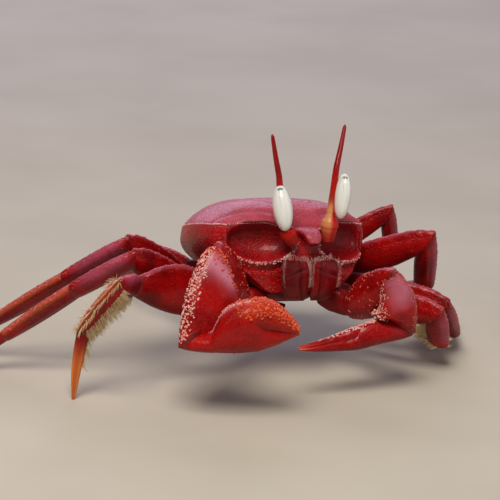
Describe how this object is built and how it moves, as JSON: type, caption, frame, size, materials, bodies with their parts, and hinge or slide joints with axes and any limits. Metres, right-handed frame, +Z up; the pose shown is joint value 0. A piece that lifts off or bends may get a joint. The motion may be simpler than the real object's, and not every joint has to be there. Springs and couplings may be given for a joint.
{
  "type": "ghost crab",
  "caption": "Life-size red ghost crab standing still on its leg tips, claws folded under the mouth and long-tipped eyestalks raised.",
  "frame": {"origin": "on the floor, below the middle of the whole animal's box", "axes": "+X towards the crab's left, -Y the way it faces, +Z up"},
  "size_m": [0.1459, 0.1066, 0.0641],
  "materials": {
    "shell": "wet chitin, finely granulate",
    "underside": "satin chitin",
    "claw": "wet chitin with pale granules",
    "leg": "wet chitin",
    "stalk": "satin chitin",
    "cornea": "smooth, wet"
  },
  "bodies": {
    "root": {"carapace": "shell", "claw_left_carpus": "claw", "claw_left_finger": "claw", "claw_left_hip": "claw", "claw_left_merus": "claw", "claw_left_palm": "claw", "claw_right_carpus": "claw", "claw_right_finger": "claw", "claw_right_hip": "claw", "claw_right_merus": "claw", "claw_right_palm": "claw", "cornea_left": "cornea", "cornea_right": "cornea", "eyestalk_left": "stalk", "eyestalk_right": "stalk", "leg2_left_carpus": "leg", "leg2_left_dactyl": "leg", "leg2_left_hip": "leg", "leg2_left_merus": "leg", "leg2_left_propodus": "leg", "leg2_right_carpus": "leg", "leg2_right_dactyl": "leg", "leg2_right_hip": "leg", "leg2_right_merus": "leg", "leg2_right_propodus": "leg", "leg3_left_carpus": "leg", "leg3_left_dactyl": "leg", "leg3_left_hip": "leg", "leg3_left_merus": "leg", "leg3_left_propodus": "leg", "leg3_right_carpus": "leg", "leg3_right_dactyl": "leg", "leg3_right_hip": "leg", "leg3_right_merus": "leg", "leg3_right_propodus": "leg", "leg4_left_carpus": "leg", "leg4_left_dactyl": "leg", "leg4_left_hip": "leg", "leg4_left_merus": "leg", "leg4_left_propodus": "leg", "leg4_right_carpus": "leg", "leg4_right_dactyl": "leg", "leg4_right_hip": "leg", "leg4_right_merus": "leg", "leg4_right_propodus": "leg", "leg5_left_carpus": "leg", "leg5_left_dactyl": "leg", "leg5_left_hip": "leg", "leg5_left_merus": "leg", "leg5_left_propodus": "leg", "leg5_right_carpus": "leg", "leg5_right_dactyl": "leg", "leg5_right_hip": "leg", "leg5_right_merus": "leg", "leg5_right_propodus": "leg", "mouth_plate_left": "underside", "mouth_plate_right": "underside", "pleon": "underside", "sternum": "underside"}
  },
  "joints": []
}
